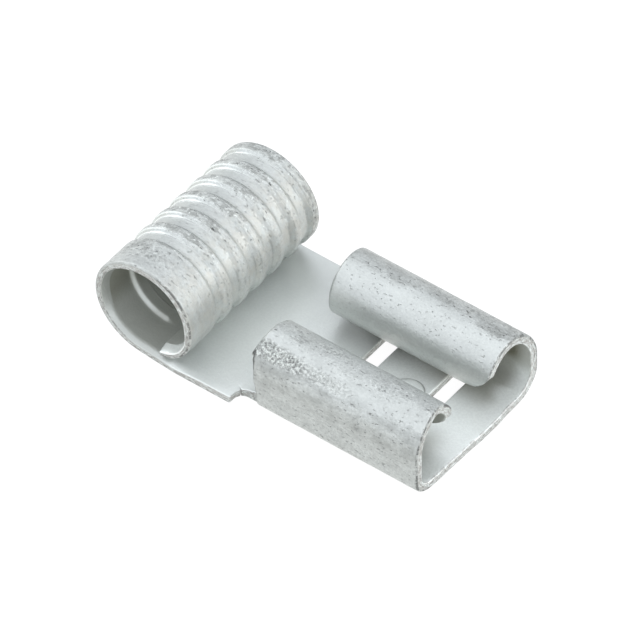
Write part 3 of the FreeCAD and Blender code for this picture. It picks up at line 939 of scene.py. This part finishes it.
    calm = less(1.0, plus(times(flank, 0.85), times(inner, 0.45)))
    height = plus(times(grain, plus(1.2, times(scuff, 2.4))),
                  times(patch, plus(2.0, times(scuff, 4.0))))
    height = less(height, times(plus(worn, marks), 1.2))
    height = times(less(height, times(pits, 3.0)), calm)
    height = plus(height, times(times(crumple, less(cracks, 0.5)), 20.0))
    height = plus(height, times(times(edge, shear), 16.0))
    height = plus(height, times(times(inner, r.ramp(ring, 0.0655, 0.0600)), 6.0))
    height = less(height, times(broken, 1.5))
    bump = r.node("ShaderNodeBump", Strength=1.0, Distance=0.00001, Height=height)
    r.put(bump.outputs[0], "Normal")
    return r.owner


def floor_material(tint, glow):
    """Plain pale sheet of a light table, with a very faint tooth."""
    r = Recipe(bpy.data.materials.new("pale_floor"))
    place = r.node("ShaderNodeTexCoord").outputs["Object"]
    tone = r.noise(place, 60.0, 2.0)
    base = r.mix(r.times(tone, 0.05), rgba(tint), rgba(tint, 0.97))
    r.put(base, "Base Color")
    r.put(0.9, "Roughness")
    r.put((1, 1, 1, 1), "Emission Color")
    r.put(glow, "Emission Strength")
    return r.owner


# Operators


class OBJECT_OT_fold_terminal(bpy.types.Operator):
    """Fold the terminal from its flat blank and give it its tin finish"""

    bl_idname = "object.fold_terminal"
    bl_label = "Fold terminal"
    bl_options = {"REGISTER", "UNDO"}

    def execute(self, context):
        scene = context.scene
        blank = Blank(scene.terminal_sheet, scene.terminal_barrel)
        points, faces, flat, kind, side, border = folded_sheet(blank)
        piece = solid_mesh("folded_terminal", points, faces)
        mesh = piece.data
        marks = marks_and_painted_light(blank, flat[:, 0], flat[:, 1], side, border)
        mark_mesh(mesh, "edge", "FACE", kind)
        for name, values in marks.items():
            mark_mesh(mesh, name, "POINT", values)
        corners = np.empty(len(mesh.loops), np.int32)
        mesh.loops.foreach_get("vertex_index", corners)
        layer = mesh.uv_layers.new(name="blank")
        layer.data.foreach_set("uv", (flat[corners] / UV_SPAN).astype(np.float32).ravel())
        mesh.materials.append(tin_material(scene.terminal_finish))
        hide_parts("terminal")
        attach(piece, "root")
        return {"FINISHED"}


class OBJECT_OT_set_stage(bpy.types.Operator):
    """Lay the pale floor, hang the soft lights and place the camera"""

    bl_idname = "object.set_terminal_stage"
    bl_label = "Set stage"
    bl_options = {"REGISTER", "UNDO"}

    def execute(self, context):
        scene = context.scene
        settings = scene.terminal_stage
        mesh = bpy.data.meshes.new("floor")
        reach = 3.0
        corners = [(x * reach, y * reach, 0) for x, y in ((-1, -1), (1, -1), (1, 1), (-1, 1))]
        mesh.from_pydata(corners, [], [(0, 1, 2, 3)])
        mesh.materials.append(floor_material(settings.floor_colour, settings.floor_glow))
        floor = bpy.data.objects.new("floor", mesh)
        floor.location.z = cad_low.z - 0.00002
        scene.collection.objects.link(floor)

        scene.world = tent_world(settings)

        soft_light(scene, "left", (-0.76, 0.05, 0.25), 0.52, 0.42, settings.left)
        soft_light(scene, "right", (0.66, 0.16, 0.34), 0.5, 0.36, settings.right)
        soft_light(scene, "overhead", (-0.05, -0.25, 0.90), 0.9, 0.7, settings.overhead)

        camera = bpy.data.objects.new("camera", bpy.data.cameras.new("camera"))
        camera.data.lens = settings.lens
        camera.data.sensor_width = 36.0
        camera.data.clip_start = 0.01
        camera.data.clip_end = 10.0
        right = Vector((0.79865, 0.60180, 0.0))
        up = Vector((-0.430476, 0.571288, 0.698799))
        back = Vector((0.420535, -0.558096, 0.715318))
        turn = Matrix((right, up, back)).transposed().to_4x4()
        place = (0.2272537, -0.3015390, 0.3885034)
        camera.matrix_world = Matrix.Translation(place) @ turn
        scene.collection.objects.link(camera)
        scene.camera = camera
        scene.view_settings.view_transform = "Standard"
        return {"FINISHED"}


def tent_world(settings):
    """Even light of a white tent that is dimmer low down behind the terminal. The brightness rises
    with the direction's height less its share towards the back."""
    r = Recipe(bpy.data.worlds.new("tent"), "Background")
    where = r.node("ShaderNodeTexCoord").outputs["Generated"]
    rise = r.compare("DOT_PRODUCT", where, (0.40, -0.917, 1.0))
    r.put((0.975, 1.0, 1.07, 1), "Color")
    r.put(r.ramp(rise, -0.14, 0.16, To_Min=settings.tent_back, To_Max=settings.tent), "Strength")
    return r.owner


def soft_light(scene, name, place, width, height, brightness):
    """A large even light panel that faces the terminal. Its power is its brightness times its area
    times pi."""
    data = bpy.data.lights.new(name, "AREA")
    data.shape = "RECTANGLE"
    data.size = width
    data.size_y = height
    data.energy = brightness * math.pi * width * height
    light = bpy.data.objects.new(name, data)
    light.location = place
    aim = Vector((0, 0, 0.002)) - Vector(place)
    light.rotation_euler = aim.to_track_quat("-Z", "Y").to_euler()
    scene.collection.objects.link(light)


class VIEW3D_PT_terminal(bpy.types.Panel):
    """Sizes, colours and steps of the terminal"""

    bl_label = "Spade terminal"
    bl_idname = "VIEW3D_PT_terminal"
    bl_space_type = "VIEW_3D"
    bl_region_type = "UI"
    bl_category = "Terminal"

    def draw(self, context):
        scene = context.scene
        for name, group in GROUPS.items():
            box = self.layout.box()
            for key in group.__annotations__:
                box.prop(getattr(scene, name), key)
        self.layout.operator(OBJECT_OT_fold_terminal.bl_idname)
        self.layout.operator(OBJECT_OT_set_stage.bl_idname)


CLASSES = (*GROUPS.values(), OBJECT_OT_fold_terminal, OBJECT_OT_set_stage, VIEW3D_PT_terminal)


def register():
    for cls in CLASSES:
        bpy.utils.register_class(cls)
    for name, group in GROUPS.items():
        setattr(bpy.types.Scene, name, PointerProperty(type=group))


def unregister():
    for name in GROUPS:
        delattr(bpy.types.Scene, name)
    for cls in reversed(CLASSES):
        bpy.utils.unregister_class(cls)


def main():
    register()
    bpy.ops.object.fold_terminal()
    bpy.ops.object.set_terminal_stage()


if __name__ == "__main__":
    main()
